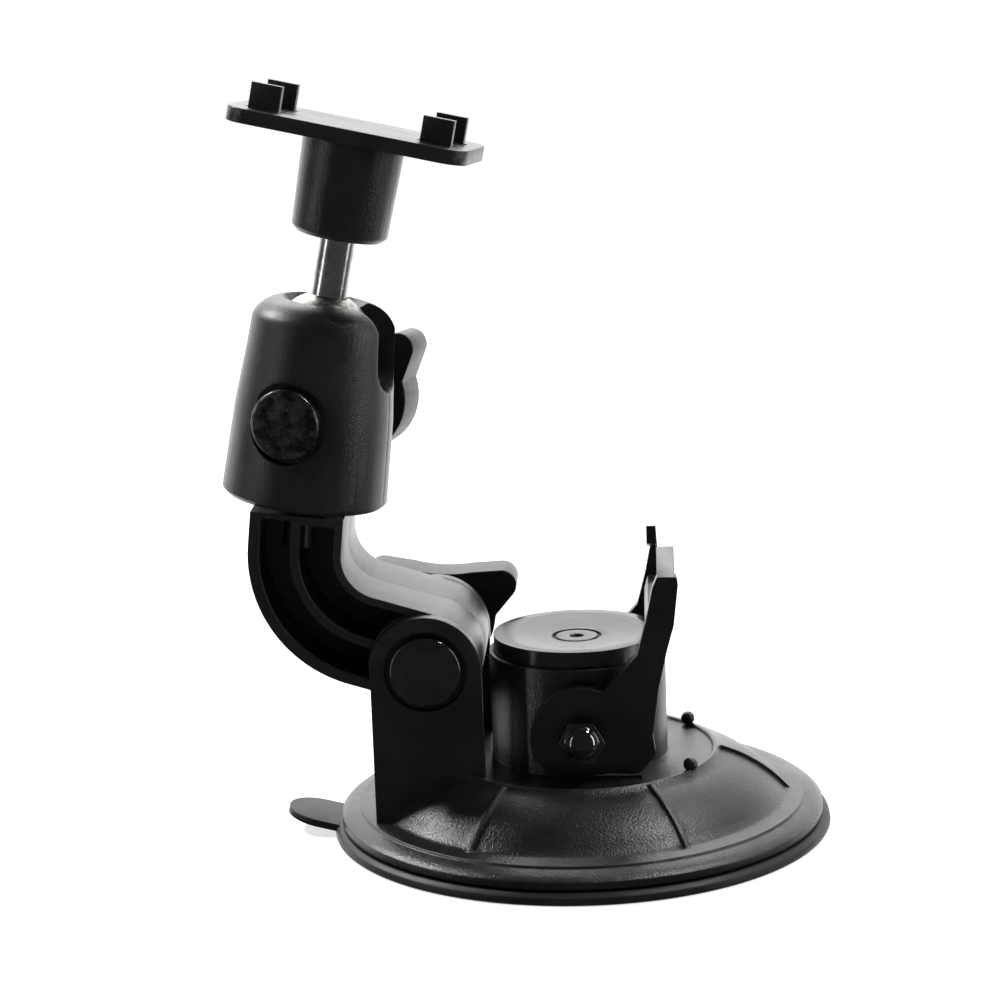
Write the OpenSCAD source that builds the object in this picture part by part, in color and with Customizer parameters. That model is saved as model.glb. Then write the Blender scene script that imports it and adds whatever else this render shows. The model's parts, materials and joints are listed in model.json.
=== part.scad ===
// Suction mount for a dash camera: cam-lever suction base, tilting elbow, clamp head,
// ball stud and four-claw camera plate. Millimetres. The origin is the middle of the
// cup's contact face, +Z leaves the glass, +X runs from the elbow toward the lever.

/* [Base] */
// Diameter of the base housing at its lip
base_d = 82; // [60:1:110]
// Height of the flat top inside the ridge
plateau_z = 12.6; // [9:0.1:18]
// Diameter of the ridge around the flat top
ridge_d = 46; // [38:0.5:60]
// Wall thickness of the housing
wall = 2; // [1.5:0.1:3]
// Diameter of the suction cup
cup_d = 84.6; // [62:0.2:112]

/* [Drum and button] */
// Outer diameter of the drum
drum_d = 29.8; // [24:0.1:36]
// Height of the drum's top edge
drum_top = 30.8; // [26:0.1:36]
// Diameter of the push button
button_d = 28.2; // [20:0.1:32]
// Height of the button's rim
button_z = 33.6; // [30:0.1:40]
// Travel of the button
button_travel = 1.5; // [0.5:0.1:2.5]

/* [Lever] */
// Height of the lever's pivot
pivot_z = 19.85; // [17:0.05:24]
// Distance of the pivot from the middle plane
pivot_x = 0.84; // [-3:0.02:3]
// Lift of the cup stem over the lever's whole swing
cup_lift = 6.4; // [3:0.1:8]
// Thickness of each lever arm
arm_t = 2.5; // [1.5:0.1:4]

/* [Hinge and elbow] */
// Hinge position along X
hinge_x = -24.7; // [-32:0.1:-20]
// Hinge height
hinge_z = 31.1; // [24:0.1:40]
// Lean of the neck toward the lever
neck_lean = 6.8; // [-20:0.1:35]
// Half the thickness of the elbow
elbow_half = 12.5; // [8:0.1:16]
// Width of the neck
neck_w = 15.4; // [10:0.1:22]
// Radius of the inner bend
bend_r = 7; // [4:0.1:14]

/* [Head] */
// Lean of the head's own axis
head_lean = 9; // [-20:0.1:35]
// Turn of the head about its axis
head_turn = -14.5; // [-90:0.5:90]
// Height of the clamp head
head_h = 33.6; // [26:0.1:44]
// Diameter of the ball
ball_d = 17; // [12:0.5:25]
// Height of the ball's middle in the head
ball_h = 26.5; // [20:0.1:32]

/* [Stud and plate] */
// Lean of the stud
stud_lean = 12; // [-10:0.1:60]
// Turn of the plate about the stud
plate_turn = -9.5; // [-180:0.5:180]
// Diameter of the stud
stud_d = 6.3; // [4:0.1:10]
// Distance from the ball's middle to the socket
socket_at = 18; // [12:0.1:30]
// Height of the socket
socket_h = 16; // [8:0.1:24]
// Length of the claw plate
plate_l = 40.7; // [30:0.5:60]
// Width of the claw plate
plate_w = 19; // [14:0.5:40]
// Thickness of the claw plate
plate_t = 2.4; // [1.6:0.1:5]
// Spacing of the claws along the plate
claw_pitch = 29.1; // [18:0.2:50]

/* [Knobs] */
// Reach of each knob wing
knob_reach = 15; // [9:0.1:20]
// Thickness of a knob
knob_t = 7.8; // [4:0.1:12]
// Diameter of the clamp bolts
bolt_d = 5; // [3:0.5:8]

/* [Hidden] */
$fn = 72;
run_fit = 0.06;
gap = 0.3;
lip_z = 2.3;
ear_y = elbow_half + 0.1;
ear_t = 2.4;
ear_r = 9.19;
drum_r = drum_d / 2;
button_r = button_d / 2;
shoulder_z = 26;
skirt_z = shoulder_z + button_travel + 0.4;
cap_under = 31.2;
arm_y = drum_r + 0.25;
stem_r = 4.5;
lever_bolt_d = 4;
ball_r = ball_d / 2;
post_r = 4;
bore_r = bolt_d / 2 + run_fit;
head_x = -45;
head_z = 57.95;
neck_top = 23.7;
head_bolt_h = 14.4;
knob_y = 14.6;
bend_x = -8.5;
bend_out = bend_r + neck_w;
slope = 10.7;
bend_z = (9.1 + bend_r - bend_x * sin(slope)) / cos(slope);
boss_l = 5.2;
claw_w = 5.2;
claw_h = 4.3;
claw_y = 5.3;
black = [0.09, 0.09, 0.1];
gloss = [0.03, 0.03, 0.035];
rubber = [0.14, 0.14, 0.14];
steel = [0.75, 0.75, 0.77];
brass = [0.75, 0.6, 0.3];

// Frames of the moving groups
module at_pivot() { translate([pivot_x, 0, pivot_z]) children(); }
module at_hinge() { translate([hinge_x, 0, hinge_z]) rotate([0, neck_lean, 0]) children(); }
module at_head() {
    translate([head_x, 0, head_z]) rotate([0, head_lean, 0]) rotate([0, 0, head_turn]) children();
}
module at_ball() {
    translate([head_x, 0, head_z]) rotate([0, head_lean, 0]) translate([0, 0, ball_h]) children();
}
module at_stud() {
    at_ball() rotate([0, stud_lean - head_lean, 0]) rotate([0, 0, plate_turn]) children();
}

// A cylinder along Y from y1 to y2
module rod(r, y1, y2) { translate([0, y2, 0]) rotate([90, 0, 0]) cylinder(r = r, h = y2 - y1); }
// An outline drawn in X and Z, as thick as y1 to y2
module slab(y1, y2) { translate([0, y2, 0]) rotate([90, 0, 0]) linear_extrude(y2 - y1) children(); }
// A coil spring standing on Z
module coil(r, wire, h, turns) {
    spread = 180 * wire * turns / h;
    linear_extrude(height = h, twist = -360 * turns, slices = 14 * turns, $fn = 8)
        polygon(concat(arc(0, 0, r + wire / 2, -spread, spread, 5), arc(0, 0, r - wire / 2, spread, -spread, 5)));
}
function arc(cx, cy, r, a1, a2, n) =
    [for (i = [0:n]) [cx + r * cos(a1 + (a2 - a1) * i / n), cy + r * sin(a1 + (a2 - a1) * i / n)]];

// Outer half profile of the housing, ridge to lip
function dome_profile() = concat(
    [[0, plateau_z], [ridge_d / 2 - 0.6, plateau_z], [ridge_d / 2 - 0.3, plateau_z + 0.5],
     [ridge_d / 2 + 0.3, plateau_z + 0.5]],
    arc(16.6, -10.4, 24, 72.5, 41.8, 8),
    [[35.2, 5.3], [37.8, 5.1], [38, 4.7], [39.9, 4.3], [base_d / 2, 3.5], [base_d / 2, lip_z]]);

module suction_cup() color(rubber) {
    difference() {
        union() {
            rotate_extrude() polygon([[0, 0], [cup_d / 2 - 0.3, 0],
                [cup_d / 2, 0.3], [cup_d / 2 - 0.2, 1.3], [cup_d / 2 - 1, 1.9], [30, 1.9],
                [12, 2.6], [11, 3.4], [9.2, 3.4], [9.2, 2.4], [0, 2.4]]);
            // pull tab, turned up a little
            translate([-40.5, 0, 0.4]) rotate([0, 14, 0]) translate([40.5, 0, 0]) linear_extrude(1.2) difference() {
                union() {
                    translate([-45, -5.8]) square([6, 11.6]);
                    translate([-45, 0]) circle(5.8);
                }
                circle(r = 39.5);
            }
        }
    }
}

module cup_stem() color(black) difference() {
    union() {
        translate([0, 0, 2.42]) cylinder(r = 9, h = 1.6);
        cylinder(r = stem_r, h = pivot_z + 3.1);
    }
    translate([0, 0, -0.1]) cylinder(r = 20, h = 2.52);
    at_pivot() rod(lever_bolt_d / 2, -8, 8);
}

module lever_bolt() color(gloss) at_pivot() {
    rod(lever_bolt_d / 2, -arm_y - arm_t - 3.5, arm_y + arm_t + 0.2);
    translate([0, arm_y + arm_t + 0.1, 0]) {
        rotate([-90, 0, 0]) cylinder(d = 7.8, h = 2.6, $fn = 6);
        intersection() {
            translate([0, 1.4, 0]) sphere(3.1);
            rod(4, 2, 5);
        }
    }
}

module lever_nut() color(gloss) at_pivot() difference() {
    translate([0, -arm_y - arm_t - 0.1, 0]) union() {
        rotate([90, 0, 0]) cylinder(d = 7.8, h = 2.6, $fn = 6);
        intersection() {
            translate([0, -1.4, 0]) sphere(3.1);
            rod(4, -5, -2);
        }
    }
    rod(lever_bolt_d / 2, -arm_y - arm_t - 3.5, 0);
}

// Outline of one lever arm about its pivot
module arm_outline(far) {
    foot = concat([[-5.6, -5.5]], arc(8.5, -4.2, 1.9, -93, -50, 4), arc(10.3, -2.4, 1.7, -50, 14, 5));
    lower = [[11.6, 0.4], [12.7, 8.1], [14.3, 14.8], [15.5, 19]];
    near_tip = [[16.3, 25.7], [16.1, 27], [12.9, 27], [12.1, 25.2]];
    far_tip = [[13.2, 23.4], [12.95, 27.6], [11.3, 27.6], [11.9, 24.4]];
    polygon(concat(foot, lower, far ? far_tip : near_tip,
        [[11, 20], [10.1, 16.6], [9.4, 14.1], [3.6, 7.81]], arc(0, 0, 8.6, 65.3, 205, 12)));
}

module lever() color(black) at_pivot() difference() {
    union() {
        slab(-arm_y - arm_t, -arm_y) arm_outline(false);
        slab(arm_y, arm_y + arm_t) arm_outline(true);
        // cross bar
        slab(-arm_y - 0.2, arm_y + 0.2) polygon([[10.7, 17.2], [13.8, 16.6], [14.4, 18.6], [11.3, 19.4]]);
        // finger rests turned in over the bar
        translate([12.9, 0, 0]) rotate([90, 0, 90]) linear_extrude(2.9)
            polygon([[-arm_y - arm_t, 24.5], [-arm_y - arm_t, 27], [-7.6, 29.8], [-7.6, 26.9], [-arm_y - 0.1, 24.5]]);
        translate([11.3, 0, 0]) rotate([90, 0, 90]) linear_extrude(1.65)
            polygon([[arm_y + arm_t, 24.5], [arm_y + arm_t, 27.2], [7.6, 29.8], [7.6, 26.7], [arm_y + 0.1, 24.5]]);
    }
    rod(lever_bolt_d / 2 + run_fit, -30, 30);
}

// Ear of the clevis that carries the hinge
module ear(y1, y2) slab(y1, y2) {
    translate([hinge_x, hinge_z]) circle(ear_r);
    translate([hinge_x - ear_r, 3]) square([2 * ear_r, hinge_z - 3]);
}

// Six thin ribs that run down the dome from the ridge
module dome_ribs() intersection() {
    rotate_extrude() polygon(concat([[20, 7], [23.4, 12.7]], arc(16.6, -10.4, 24.55, 72.5, 41.8, 8),
        [[35.6, 5.2], [35.3, 4.4], [30, 4.4]]));
    for (i = [0:5]) rotate([0, 0, 60 * i]) translate([20, -0.45, 4]) cube([17, 0.9, 10]);
}

module base_shell() color(black) difference() {
    union() {
        rotate_extrude() polygon(concat(dome_profile(), [[0, lip_z]]));
        dome_ribs();
        translate([0, 0, plateau_z - 1]) cylinder(r = drum_r, h = drum_top - plateau_z + 1);
        ear(-ear_y - ear_t, -ear_y);
        ear(ear_y, ear_y + ear_t);
        for (s = [-1, 1]) rotate([0, 0, 35.5 * s])
            translate([22.8, 0, plateau_z + 1.2]) sphere(1.2);
    }
    // hollow under the dome
    rotate_extrude() polygon([[0, 2], [39, 2], [39, lip_z + 0.6], [34, 3.4], [30, 7.2],
        [24, 10], [18, plateau_z - wall], [0, plateau_z - wall]]);
    // bore for the stem
    translate([0, 0, 5]) cylinder(r = stem_r + run_fit, h = 20);
    // inside of the drum around the stem guide
    difference() {
        translate([0, 0, plateau_z]) cylinder(r = 12.7, h = 40);
        translate([0, 0, plateau_z - 1]) cylinder(r = 6.8, h = 5);
        for (s = [-1, 1]) translate([9.1 * s, 0, plateau_z - 1]) {
            cylinder(r = 2.6, h = 8.4);
            cylinder(r = 1.2, h = 12);
        }
        difference() {
            translate([0, 0, shoulder_z - 2]) cylinder(r = 12.8, h = 2);
            translate([0, 0, shoulder_z - 3]) cylinder(r = 11.6, h = 4);
        }
    }
    translate([0, 0, shoulder_z]) cylinder(r = button_r + run_fit, h = 10);
    // slots that let the lever's bolt rise with the stem
    slab(-20, 20) {
        translate([pivot_x, pivot_z]) circle(lever_bolt_d / 2 + 0.12);
        translate([pivot_x, pivot_z + cup_lift]) circle(lever_bolt_d / 2 + 0.12);
        translate([pivot_x - lever_bolt_d / 2 - 0.12, pivot_z]) square([lever_bolt_d + 0.24, cup_lift]);
    }
    // tracks under the two cams
    for (s = [-1, 1]) translate([-2.5, s > 0 ? arm_y - 0.2 : -arm_y - arm_t - 0.2, plateau_z - 0.4])
        cube([13, arm_t + 0.4, 3]);
    // hinge bore and the seat of the bolt's head
    translate([hinge_x, 0, hinge_z]) {
        rod(bolt_d / 2, -30, 30);
        rod(6.8, -ear_y - ear_t - 1, -ear_y - ear_t + 1.1);
    }
}

module button_springs() color(steel) for (s = [-1, 1])
    translate([9.1 * s, 0, plateau_z + 7.5]) coil(1.9, 0.5, cap_under - plateau_z - 7.6, 6);

module press_button() color(black) difference() {
    union() {
        translate([0, 0, skirt_z]) cylinder(r = button_r, h = button_z - skirt_z);
        for (s = [35, 215]) rotate([0, 0, s]) rotate_extrude(angle = 30)
            polygon([[10.3, skirt_z + 1], [10.3, shoulder_z - 4.4], [11.3, shoulder_z - 4.4],
                [12.3, shoulder_z - 2.8], [12.3, shoulder_z - 2.15], [11.4, shoulder_z - 2.15],
                [11.4, skirt_z + 1]]);
    }
    difference() {
        translate([0, 0, skirt_z - 1]) cylinder(r = 12.3, h = cap_under - skirt_z + 1);
        for (s = [35, 215]) rotate([0, 0, s]) rotate_extrude(angle = 30)
            polygon([[10.3, shoulder_z - 2], [11.4, shoulder_z - 2], [11.4, cap_under + 1], [10.3, cap_under + 1]]);
    }
    // dished top
    translate([0, 0, button_z + 79.1]) sphere(80, $fn = 160);
    // engraved rings in place of wording
    translate([0, 0, button_z - 1.25]) difference() {
        cylinder(r = 4.2, h = 3);
        cylinder(r = 3.5, h = 3);
    }
    translate([0, 0, button_z - 1.25]) cylinder(r = 1.2, h = 3);
    // notches over the lever's bolt
    slab(-20, 20) translate([pivot_x - 2.4, 20]) square([4.8, 9.9]);
}

module hinge_bolt() color(gloss) translate([hinge_x, 0, hinge_z]) {
    rod(bolt_d / 2, -ear_y - ear_t + 0.9, 20.6);
    rod(5.9, -ear_y - ear_t - 0.8, -ear_y - ear_t + 1.05);
}

// Flat washer along Y
module washer(y1, y2) difference() {
    rod(bolt_d, y1, y2);
    rod(bolt_d / 2 + 0.15, y1 - 1, y2 + 1);
}

module hinge_washer() color(steel) translate([hinge_x, 0, hinge_z]) washer(ear_y + ear_t + 0.02, ear_y + ear_t + 0.8);
module head_washer() color(steel) at_head() translate([0, 0, head_bolt_h]) washer(12.32, 13);

// Outline of a knob with two swept wings and a round hub
module knob_outline() difference() {
    union() {
        circle(9.8);
        for (i = [0:1]) rotate(120 * i) hull() {
            circle(7.6);
            translate([knob_reach - 2.7, 0]) circle(2.7);
        }
    }
    rotate(60) translate([33.7, 0]) circle(26, $fn = 180);
}

// A knob on a bolt along Y, its boss starting at y
module knob(y, turn) difference() {
    union() {
        rod(6.5, y, y + boss_l + 0.2);
        slab(y + boss_l, y + boss_l + knob_t) rotate(turn) knob_outline();
    }
    rod(bore_r, y - 1, y + 6);
    translate([0, y + 3.6, 0]) rotate([0, -turn, 0]) rotate([90, 30, 0]) cylinder(d = 9.3, h = 3.7, $fn = 6);
}
module knob_nut(y) difference() {
    translate([0, y + 3.55, 0]) rotate([90, 30, 0]) cylinder(d = 9.24, h = 3.5, $fn = 6);
    rod(bore_r, y - 1, y + 6);
}

module lower_knob() color(black) translate([hinge_x, 0, hinge_z]) knob(ear_y + ear_t + 0.85, 26);
module lower_knob_nut() color(brass) translate([hinge_x, 0, hinge_z]) rotate([0, -26, 0]) knob_nut(ear_y + ear_t + 0.85);
module upper_knob() color(black) at_head() translate([0, 0, head_bolt_h]) knob(knob_y - 1.5, 53);
module upper_knob_nut() color(brass) at_head() translate([0, 0, head_bolt_h]) rotate([0, -53, 0]) knob_nut(knob_y - 1.5);

// Band that follows the elbow, from offset a to offset b in from its outer wall
module band(a, b, top) polygon(concat([[bend_x - bend_out + a, top]],
    arc(bend_x, bend_z, bend_out - a, 180, 270 - slope, 24),
    [for (y = [a, b]) (y - neck_w + 9.1) * [sin(slope), cos(slope)]],
    arc(bend_x, bend_z, bend_out - b, 270 - slope, 180, 24), [[bend_x - bend_out + b, top]]));

module elbow_half(side) difference() {
    slab(side < 0 ? -elbow_half : 0.08, side < 0 ? -0.08 : elbow_half) {
        circle(9.15);
        band(0, neck_w, neck_top);
    }
    slab(side < 0 ? -elbow_half - 1 : 3.2, side < 0 ? -3.2 : elbow_half + 1) {
        difference() {
            union() {
                band(1.9, 7, 22.8);
                band(8.5, 14.1, 22.2);
            }
            circle(9.6);
        }
    }
    rod(bore_r, -30, 30);
    for (p = screw_spots) translate([p[0], 0, p[1]]) rod(side < 0 ? 0.8 : 1.1, -2.5, 20);
    swivel_bore();
}
screw_spots = [[-25.8, 13.3], [-17.3, 11.9], [-17.5, 0.9]];
module swivel_bore() rotate([0, -neck_lean, 0]) translate([head_x - hinge_x, 0, head_z - hinge_z])
    rotate([0, head_lean, 0]) translate([0, 0, -8]) cylinder(r = post_r, h = 12);

module elbow_front() color(black) at_hinge() elbow_half(-1);
module elbow_rear() color(black) at_hinge() elbow_half(1);
module elbow_screws() color(steel) at_hinge() for (p = screw_spots) translate([p[0], 0, p[1]]) {
    rod(0.8, -2.4, 3.3);
    rod(1.8, 3.22, 4.4);
}

module swivel_post() color(steel) translate([head_x, 0, head_z]) rotate([0, head_lean, 0]) {
    translate([0, 0, -7.9]) cylinder(r = post_r - 0.01, h = 15.2);
    translate([0, 0, 4.3]) cylinder(r = 6, h = 2);
}

// Half profile of the head
function head_profile() = concat([[0, 0], [13.1, 0], [13.9, 0.8], [13.3, 14.8], [12.3, 25]],
    arc(6.8, 28.1, 5.5, 22, 90, 7), [[0, head_h]]);

module head_half(side) difference() {
    rotate_extrude($fn = 96) polygon(head_profile());
    translate([-30, side < 0 ? -0.04 : -39.96, -5]) cube([60, 40, 60]);
    translate([0, 0, ball_h]) sphere(ball_r + 0.05);
    translate([0, 0, ball_h]) cylinder(r = 6.1, h = 20);
    translate([0, 0, head_h - 1.1]) cylinder(r1 = 6.1, r2 = 7.3, h = 1.2);
    // slot that lets the stud fold over
    rotate([90, 0, 90]) linear_extrude(30) {
        translate([0, 24.1]) circle(4.1);
        translate([-4.1, 24.1]) square([8.2, 20]);
    }
    // swivel post and its flange
    translate([0, 0, -1]) cylinder(r = post_r + run_fit, h = 8.6);
    translate([0, 0, 4.2]) cylinder(r = 6 + run_fit, h = 2.2);
    translate([0, 0, head_bolt_h]) {
        rod(bolt_d / 2 + 0.02, -30, 30);
        rod(6.7, -20, -11.6);
        rod(6.9, 12.3, 30);
    }
}
module head_front() color(black) at_head() head_half(-1);
module head_rear() color(black) at_head() head_half(1);
module head_bolt() color(gloss) at_head() translate([0, 0, head_bolt_h]) {
    rod(bolt_d / 2, -11.7, 19);
    rod(5.85, -13.9, -11.62);
}

module ball() color(steel) at_ball() sphere(ball_r);

module stud() color(steel) at_stud() difference() {
    cylinder(d = stud_d, h = socket_at + 7);
    sphere(ball_r + 0.03);
}

module plate_socket() color(black) at_stud() difference() {
    rotate_extrude($fn = 96) polygon([[0, socket_at], [7.1, socket_at], [8, socket_at + 0.9],
        [8.45, socket_at + socket_h], [0, socket_at + socket_h]]);
    translate([0, 0, socket_at - 1]) cylinder(d = stud_d + 0.2, h = 3);
    translate([0, 0, socket_at + 1.5]) rotate(15) cylinder(d = 10.4, h = 7, $fn = 6);
    translate([0, 0, socket_at]) cylinder(d = stud_d + 0.6, h = 10);
    translate([0, 0, socket_at + socket_h - 3.2]) cylinder(r = 5.02, h = 4);
}

module socket_insert() color(brass) at_stud() difference() {
    translate([0, 0, socket_at + 1.55]) rotate(15) cylinder(d = 10.36, h = 6.8, $fn = 6);
    cylinder(d = stud_d + 2 * run_fit, h = 40);
}

// One claw standing on the plate with its lip turned to the middle
module claw() {
    translate([-claw_w / 2, 0, 0]) cube([claw_w, 1.3, claw_h]);
    translate([-claw_w / 2, 1.2, claw_h - 1.1]) cube([claw_w, 1.3, 1.1]);
}

module claw_plate() color(black) at_stud() translate([0, 0, socket_at + socket_h]) difference() {
    union() {
        linear_extrude(plate_t) {
            square([plate_l, plate_w - 8], center = true);
            square([plate_l - 8, plate_w], center = true);
            for (x = [-1, 1], y = [-1, 1]) translate([x * (plate_l / 2 - 4), y * (plate_w / 2 - 4)]) circle(4);
        }
        // spigot pressed into the socket
        translate([0, 0, -3]) cylinder(r = 5, h = 3.1);
        for (x = [-1, 1]) {
            translate([x * claw_pitch / 2, -claw_y, plate_t - 0.1]) claw();
            mirror([0, 1, 0]) translate([x * claw_pitch / 2, -claw_y, plate_t - 0.1]) claw();
        }
    }
    // relief slots inside each claw
    for (x = [-1, 1], y = [-1, 1])
        translate([x * claw_pitch / 2 - 3.4, y > 0 ? 2.6 : -claw_y + 1.3, -1]) cube([6.8, 1.4, 10]);
}

suction_cup();
cup_stem();
lever_bolt();
lever_nut();
lever();
base_shell();
button_springs();
press_button();
hinge_bolt();
hinge_washer();
lower_knob();
lower_knob_nut();
elbow_front();
elbow_rear();
elbow_screws();
swivel_post();
head_front();
head_rear();
head_bolt();
head_washer();
upper_knob();
upper_knob_nut();
ball();
stud();
plate_socket();
socket_insert();
claw_plate();
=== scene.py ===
import bpy
import bmesh
import json
import math
from mathutils import Matrix, Vector


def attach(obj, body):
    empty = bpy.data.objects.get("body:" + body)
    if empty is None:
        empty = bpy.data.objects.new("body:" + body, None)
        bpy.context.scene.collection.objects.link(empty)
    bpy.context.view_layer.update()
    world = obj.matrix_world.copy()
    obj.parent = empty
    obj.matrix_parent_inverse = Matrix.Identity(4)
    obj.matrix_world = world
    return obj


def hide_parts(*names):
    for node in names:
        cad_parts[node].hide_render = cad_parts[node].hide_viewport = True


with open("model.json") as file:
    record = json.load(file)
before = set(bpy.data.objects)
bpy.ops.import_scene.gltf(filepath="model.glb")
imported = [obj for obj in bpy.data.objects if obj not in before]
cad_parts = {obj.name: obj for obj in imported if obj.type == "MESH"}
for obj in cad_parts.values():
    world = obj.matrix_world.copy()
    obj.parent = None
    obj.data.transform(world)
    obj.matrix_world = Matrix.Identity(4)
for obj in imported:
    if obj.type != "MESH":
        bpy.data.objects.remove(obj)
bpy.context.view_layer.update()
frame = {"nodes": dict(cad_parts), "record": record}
record = frame["record"]
mm = 0.001
print("frame loaded:", len(frame["nodes"]), "nodes")

# the body that each CAD node moves with, and its material slot
nodeBody = {n: b for b, names in record["behaviour"]["bodies"].items() for n in names}
nodeSlot = {s["node"]: s["material_slot"] for s in record["subparts"]}

cameraSetup = {
    "place": (0.0133189, -0.4651068, 0.1584147),
    "right": (0.998260, 0.046803, -0.035855),
    "up": (0.024970, 0.215284, 0.976232),
    "lens": 102.43,
    "sensor": 36.0,
    "clip": (0.02, 60),
}


def makeCamera(s):
    data = bpy.data.cameras.new("mainCamera")
    cam = bpy.data.objects.new("mainCamera", data)
    bpy.context.scene.collection.objects.link(cam)
    right, up = Vector(s["right"]).normalized(), Vector(s["up"]).normalized()
    back = right.cross(up)
    turn = Matrix((right, up, back)).transposed().to_4x4()
    cam.matrix_world = Matrix.Translation(s["place"]) @ turn
    data.lens, data.sensor_width = s["lens"], s["sensor"]
    data.clip_start, data.clip_end = s["clip"]
    bpy.context.scene.camera = cam


makeCamera(cameraSetup)
print("camera placed")

studio = {
    "floorSize": 14.0,
    "floorDrop": 0.00005,
    "floorColor": (0.55, 0.55, 0.55, 1),
    "skyBehind": 2.1,
    "skyInFront": 0.07,
    "skySeen": 1.2,
    "skyFade": (0.10, 0.85),
    "floorGlow": 0.68,
    "floorRough": 0.9,
    "floorSheen": 0.1,
    "lamps": [
        # name, place, aim, width, height, watts
        ("topBox", (-0.08, 0.52, 0.58), (-0.02, 0, 0.05), 0.6, 0.3, 3.6),
        ("leftStrip", (-0.60, -0.22, 0.12), (-0.03, 0, 0.09), 0.05, 0.6, 0.7),
        ("rightStrip", (0.62, -0.12, 0.16), (0.0, 0, 0.06), 0.10, 0.6, 1.8),
        ("highLeft", (-0.53, 0.20, 0.56), (-0.04, 0, 0.08), 0.10, 0.10, 5.0),
        ("highRight", (0.37, 0.0, 0.68), (-0.03, 0, 0.08), 0.10, 0.10, 3.0),
    ],
}


def makeStudio(s):
    bm = bmesh.new()
    bmesh.ops.create_grid(bm, x_segments=2, y_segments=2, size=s["floorSize"] / 2)
    bmesh.ops.translate(bm, verts=bm.verts, vec=(0, 0, -s["floorDrop"]))
    mesh = bpy.data.meshes.new("floor")
    bm.to_mesh(mesh)
    bm.free()
    floor = bpy.data.objects.new("floor", mesh)
    bpy.context.scene.collection.objects.link(floor)
    mat = bpy.data.materials.new("paleFloor")
    mat.use_nodes = True
    shader = mat.node_tree.nodes["Principled BSDF"]
    shader.inputs["Base Color"].default_value = s["floorColor"]
    shader.inputs["Roughness"].default_value = s["floorRough"]
    shader.inputs["Specular IOR Level"].default_value = s["floorSheen"]
    shader.inputs["Emission Color"].default_value = (1, 1, 1, 1)
    shader.inputs["Emission Strength"].default_value = s["floorGlow"]
    mesh.materials.append(mat)
    floor.visible_glossy = False  # the floor isn't mirrored, so upright faces stay dark
    for name, place, aim, w, h, power in s["lamps"]:
        data = bpy.data.lights.new(name, "AREA")
        data.shape, data.size, data.size_y, data.energy = "RECTANGLE", w, h, power
        lamp = bpy.data.objects.new(name, data)
        bpy.context.scene.collection.objects.link(lamp)
        lamp.location = place
        lamp.rotation_mode = "QUATERNION"
        lamp.rotation_quaternion = (Vector(aim) - Vector(place)).to_track_quat("-Z", "Y")
    world = bpy.data.worlds.new("studioSky")
    bpy.context.scene.world = world
    world.use_nodes = True
    tree = world.node_tree
    sky = tree.nodes["Background"]
    outward = tree.nodes.new("ShaderNodeTexCoord")
    split = tree.nodes.new("ShaderNodeSeparateXYZ")
    fade = tree.nodes.new("ShaderNodeMapRange")  # dim in front of the object, bright behind it
    fade.interpolation_type = "SMOOTHSTEP"
    fade.inputs["From Min"].default_value, fade.inputs["From Max"].default_value = s["skyFade"]
    fade.inputs["To Min"].default_value = s["skyInFront"]
    fade.inputs["To Max"].default_value = s["skyBehind"]
    tree.links.new(outward.outputs["Generated"], split.inputs[0])
    tree.links.new(split.outputs["Y"], fade.inputs["Value"])
    ray = tree.nodes.new("ShaderNodeLightPath")
    seen = tree.nodes.new("ShaderNodeMix")  # seen directly, the sky is plain white on every side
    seen.inputs[3].default_value = s["skySeen"]
    tree.links.new(ray.outputs["Is Camera Ray"], seen.inputs[0])
    tree.links.new(fade.outputs["Result"], seen.inputs[2])
    tree.links.new(seen.outputs[0], sky.inputs["Strength"])
    sky.inputs["Color"].default_value = (1, 1, 1, 1)


makeStudio(studio)
bpy.context.scene.view_settings.view_transform = "Standard"
print("studio made")

# colours run from dark to light in patches; patch and grain are noise scales, edge is in metres
finishes = {
    "grainedBlack": dict(
        dark=(0.0030, 0.0030, 0.0033), light=(0.0090, 0.0090, 0.0096),
        patch=55, rough=(0.27, 0.40), grain=2600, depth=0.6, sparkle=0.20, edge=0.0003, gloss=0.42,
    ),
    "headBlack": dict(
        dark=(0.0035, 0.0035, 0.0038), light=(0.0100, 0.0100, 0.0106),
        patch=80, rough=(0.28, 0.40), grain=4200, depth=0.45, sparkle=0.12, edge=0.0003, gloss=0.42,
    ),
    "buttonBlack": dict(
        dark=(0.0040, 0.0040, 0.0044), light=(0.0090, 0.0090, 0.0094),
        patch=70, rough=(0.22, 0.30), grain=3600, depth=0.16, sparkle=0.04, edge=0.0003, gloss=0.42,
    ),
    "leverBlack": dict(
        dark=(0.0032, 0.0032, 0.0035), light=(0.0080, 0.0080, 0.0085),
        patch=90, rough=(0.28, 0.40), grain=3400, depth=0.25, sparkle=0.04, edge=0.0003, gloss=0.42,
    ),
    "knobBlack": dict(
        dark=(0.0028, 0.0028, 0.0029), light=(0.0075, 0.0075, 0.0078),
        patch=70, rough=(0.34, 0.46), grain=2800, depth=0.3, sparkle=0.06, edge=0.0004, gloss=0.42,
    ),
    "cupRubber": dict(
        dark=(0.0036, 0.0036, 0.0039), light=(0.0105, 0.0105, 0.0110),
        patch=40, rough=(0.40, 0.58), grain=1500, depth=0.2, sparkle=0.05, edge=0.0003, gloss=0.30,
    ),
}
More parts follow.
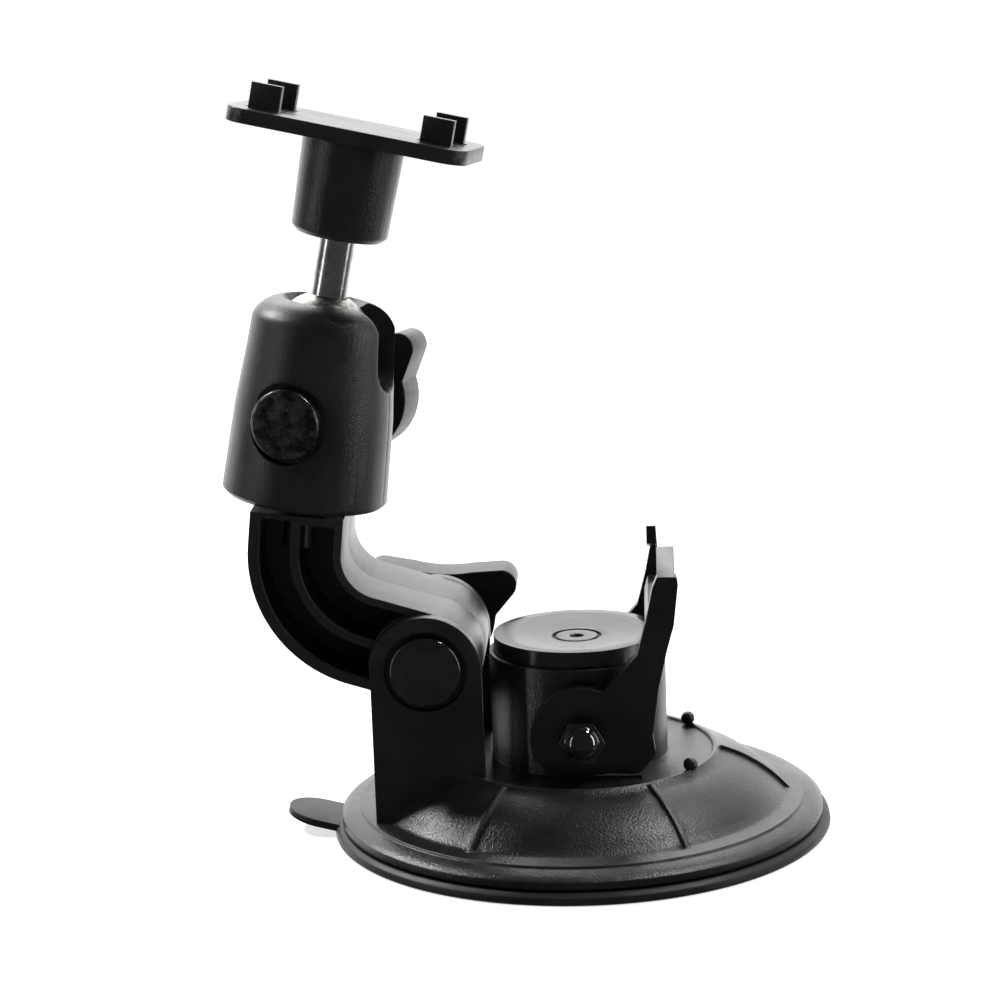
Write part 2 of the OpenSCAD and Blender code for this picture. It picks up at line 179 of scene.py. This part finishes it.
# cloud is the scale of the colour's mottling and scratch that of the brushing
metals = {
    "blackChrome": dict(
        dark=(0.0020, 0.0020, 0.0024), light=(0.0060, 0.0060, 0.0068),
        rough=(0.04, 0.10), scratch=900, depth=0.04, metallic=0.0, gloss=0.95, cloud=160,
    ),
    "smokedChrome": dict(
        dark=(0.018, 0.018, 0.020), light=(0.13, 0.125, 0.12),
        rough=(0.08, 0.34), scratch=1100, depth=0.25, metallic=0.9, gloss=0.6, cloud=520,
    ),
    "brightChrome": dict(
        dark=(0.40, 0.39, 0.38), light=(0.66, 0.65, 0.64),
        rough=(0.16, 0.26), scratch=700, depth=0.05, metallic=1.0, gloss=0.5, cloud=160,
    ),
    "satinChrome": dict(
        dark=(0.16, 0.16, 0.15), light=(0.50, 0.49, 0.46),
        rough=(0.28, 0.46), scratch=1900, depth=0.7, metallic=1.0, gloss=0.5, cloud=1500,
    ),
    "zincPlate": dict(
        dark=(0.46, 0.46, 0.48), light=(0.68, 0.68, 0.70),
        rough=(0.28, 0.42), scratch=1500, depth=0.12, metallic=1.0, gloss=0.5, cloud=260,
    ),
    "turnedBrass": dict(
        dark=(0.50, 0.36, 0.15), light=(0.74, 0.57, 0.28),
        rough=(0.22, 0.36), scratch=1600, depth=0.1, metallic=1.0, gloss=0.5, cloud=200,
    ),
}


def addNode(tree, kind, **values):
    node = tree.nodes.new(kind)
    for key, value in values.items():
        node.inputs[key].default_value = value
    return node


def addNoise(tree, place, scale, detail=3, rough=0.5):
    node = addNode(tree, "ShaderNodeTexNoise", Scale=scale, Detail=detail, Roughness=rough)
    tree.links.new(place, node.inputs["Vector"])
    return node.outputs["Fac"]


def addRange(tree, value, low, high, fromLow=0.3, fromHigh=0.7):
    node = tree.nodes.new("ShaderNodeMapRange")
    for key, v in (("From Min", fromLow), ("From Max", fromHigh), ("To Min", low), ("To Max", high)):
        node.inputs[key].default_value = v
    tree.links.new(value, node.inputs["Value"])
    return node.outputs["Result"]


def addMix(tree, factor, first, second):
    node = tree.nodes.new("ShaderNodeMix")
    node.data_type = "RGBA"
    for socket, v in ((node.inputs[6], first), (node.inputs[7], second)):
        if isinstance(v, tuple):
            socket.default_value = (*v, 1)
        else:
            tree.links.new(v, socket)
    tree.links.new(factor, node.inputs[0])
    return node.outputs[2]


def startFinish(name):
    mat = bpy.data.materials.new(name)
    mat.use_nodes = True
    tree = mat.node_tree
    place = tree.nodes.new("ShaderNodeTexCoord").outputs["Object"]
    return mat, tree, place, tree.nodes["Principled BSDF"]


# moulded plastic and rubber: soft patches, fine grain with painted glints (pale specks painted into
# the colour to stand in for sparkling highlights), faint dust
mould = {
    "paintedGlintColor": (0.06, 0.06, 0.062),
    "dustColor": (0.035, 0.034, 0.032),
    "dustAmount": 0.12,
    "dustFrom": (0.58, 0.78),
    "paintedGlintFrom": (0.6, 0.8),
    "dustFineness": 9,
    "grainHeight": 0.00015,
}


def makeMoulded(name, s):
    mat, tree, place, shader = startFinish(name)
    patches = addNoise(tree, place, s["patch"], 4, 0.6)
    grain = addNoise(tree, place, s["grain"], 2, 0.6)
    fine = addNoise(tree, place, s["patch"] * mould["dustFineness"], 6, 0.7)
    dust = addRange(tree, fine, 0, mould["dustAmount"], *mould["dustFrom"])
    base = addMix(tree, addRange(tree, patches, 0, 1), s["dark"], s["light"])
    # painted glints: pale specks on the grain, painted into the base colour in place of sparkling
    # highlights
    paintedGlint = addRange(tree, grain, 0, s["sparkle"], *mould["paintedGlintFrom"])
    base = addMix(tree, paintedGlint, base, mould["paintedGlintColor"])
    base = addMix(tree, dust, base, mould["dustColor"])
    tree.links.new(base, shader.inputs["Base Color"])
    tree.links.new(addRange(tree, patches, *s["rough"]), shader.inputs["Roughness"])
    shader.inputs["Specular IOR Level"].default_value = s["gloss"]
    soft = addNode(tree, "ShaderNodeBevel", Radius=s["edge"])
    bump = addNode(tree, "ShaderNodeBump", Strength=s["depth"], Distance=mould["grainHeight"])
    tree.links.new(grain, bump.inputs["Height"])
    tree.links.new(soft.outputs["Normal"], bump.inputs["Normal"])
    tree.links.new(bump.outputs["Normal"], shader.inputs["Normal"])
    return mat


# metal: fine stretched brush marks and mottled colour
brushing = {
    "stretch": (0.12, 0.12, 1.0),
    "turn": (0.3, 0.5, 0.2),
    "fineness": 3,
    "cloudFrom": (0.4, 0.66),
    "edge": 0.0002,
    "height": 0.00005,
}


def makeMetal(name, s):
    mat, tree, place, shader = startFinish(name)
    stretch = addNode(tree, "ShaderNodeMapping", Scale=brushing["stretch"], Rotation=brushing["turn"])
    tree.links.new(place, stretch.inputs["Vector"])
    scratch = addNoise(tree, stretch.outputs["Vector"], s["scratch"] * brushing["fineness"], 5, 0.7)
    cloud = addNoise(tree, place, s["cloud"], 5, 0.65)
    mottle = addRange(tree, cloud, 0, 1, *brushing["cloudFrom"])
    base = addMix(tree, mottle, s["dark"], s["light"])
    tree.links.new(base, shader.inputs["Base Color"])
    tree.links.new(addRange(tree, scratch, *s["rough"]), shader.inputs["Roughness"])
    shader.inputs["Metallic"].default_value = s["metallic"]
    shader.inputs["Specular IOR Level"].default_value = s["gloss"]
    soft = addNode(tree, "ShaderNodeBevel", Radius=brushing["edge"])
    bump = addNode(tree, "ShaderNodeBump", Strength=s["depth"], Distance=brushing["height"])
    tree.links.new(scratch, bump.inputs["Height"])
    tree.links.new(soft.outputs["Normal"], bump.inputs["Normal"])
    tree.links.new(bump.outputs["Normal"], shader.inputs["Normal"])
    return mat


finish = {name: makeMoulded(name, s) for name, s in finishes.items()}
finish.update({name: makeMetal(name, s) for name, s in metals.items()})
slotFinish = {
    "black_plastic": "grainedBlack", "button_plastic": "buttonBlack", "lever_plastic": "leverBlack",
    "knob_plastic": "knobBlack", "cup_rubber": "cupRubber", "black_chrome": "blackChrome",
    "smoked_chrome": "smokedChrome", "bright_chrome": "brightChrome", "zinc_steel": "zincPlate",
    "brass": "turnedBrass",
}
ownFinish = {"head_front": "headBlack", "head_rear": "headBlack", "ball": "satinChrome"}
print("finishes made:", len(finish))


def finishOf(node):
    return finish[ownFinish.get(node, slotFinish[nodeSlot[node]])]


for node, obj in frame["nodes"].items():
    mesh = obj.data
    if not mesh.materials:
        mesh.materials.append(finishOf(node))
    for i in range(len(mesh.materials)):
        mesh.materials[i] = finishOf(node)
print("CAD nodes finished")

# pieces that are shown with rounded edges: node, edge radius in mm, steps
rounded = {
    "base_shell": (0.3, 3), "press_button": (0.7, 3), "lever": (0.45, 3),
    "elbow_front": (0.9, 4), "elbow_rear": (0.9, 4), "head_front": (0.35, 3), "head_rear": (0.35, 3),
    "lower_knob": (0.8, 4), "upper_knob": (0.8, 4), "plate_socket": (0.35, 3), "claw_plate": (0.25, 2),
    "lever_nut": (0.2, 2), "lever_bolt": (0.2, 2), "hinge_bolt": (0.4, 3), "head_bolt": (0.5, 3),
    "suction_cup": (0.3, 2),
}

# the two elbow halves meet on the middle plane, so no light shows through their seam
seam = {"pieces": ("elbow_front", "elbow_rear"), "gap": 0.12 * mm}

# points closer than merge join, faces flatter than flat melt together, corners past sharp are rounded
edgeWork = {"merge": 0.004 * mm, "flat": math.radians(0.5), "sharp": math.radians(32)}


def closeSeam(bm, gap):
    for v in bm.verts:
        if abs(v.co.y) < gap:
            v.co.y = 0


def roundedCopy(node, radius, steps):
    bm = bmesh.new()
    bm.from_mesh(frame["nodes"][node].data)
    if node in seam["pieces"]:
        closeSeam(bm, seam["gap"])
    bmesh.ops.remove_doubles(bm, verts=bm.verts, dist=edgeWork["merge"])
    bmesh.ops.dissolve_limit(bm, angle_limit=edgeWork["flat"], verts=bm.verts, edges=bm.edges)
    mesh = bpy.data.meshes.new(node + "_rounded")
    for f in bm.faces:
        f.smooth = True
        f.material_index = 0
    bm.to_mesh(mesh)
    bm.free()
    piece = bpy.data.objects.new(node + "_rounded", mesh)
    bpy.context.scene.collection.objects.link(piece)
    mesh.materials.append(finishOf(node))
    bevel = piece.modifiers.new("edges", "BEVEL")
    bevel.width, bevel.segments, bevel.profile = radius * mm, steps, 0.5
    bevel.limit_method, bevel.angle_limit = "ANGLE", edgeWork["sharp"]
    bevel.use_clamp_overlap, bevel.harden_normals = True, True
    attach(piece, nodeBody[node])
    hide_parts(node)


for node, (radius, steps) in rounded.items():
    roundedCopy(node, radius, steps)
    print("rounded", node)
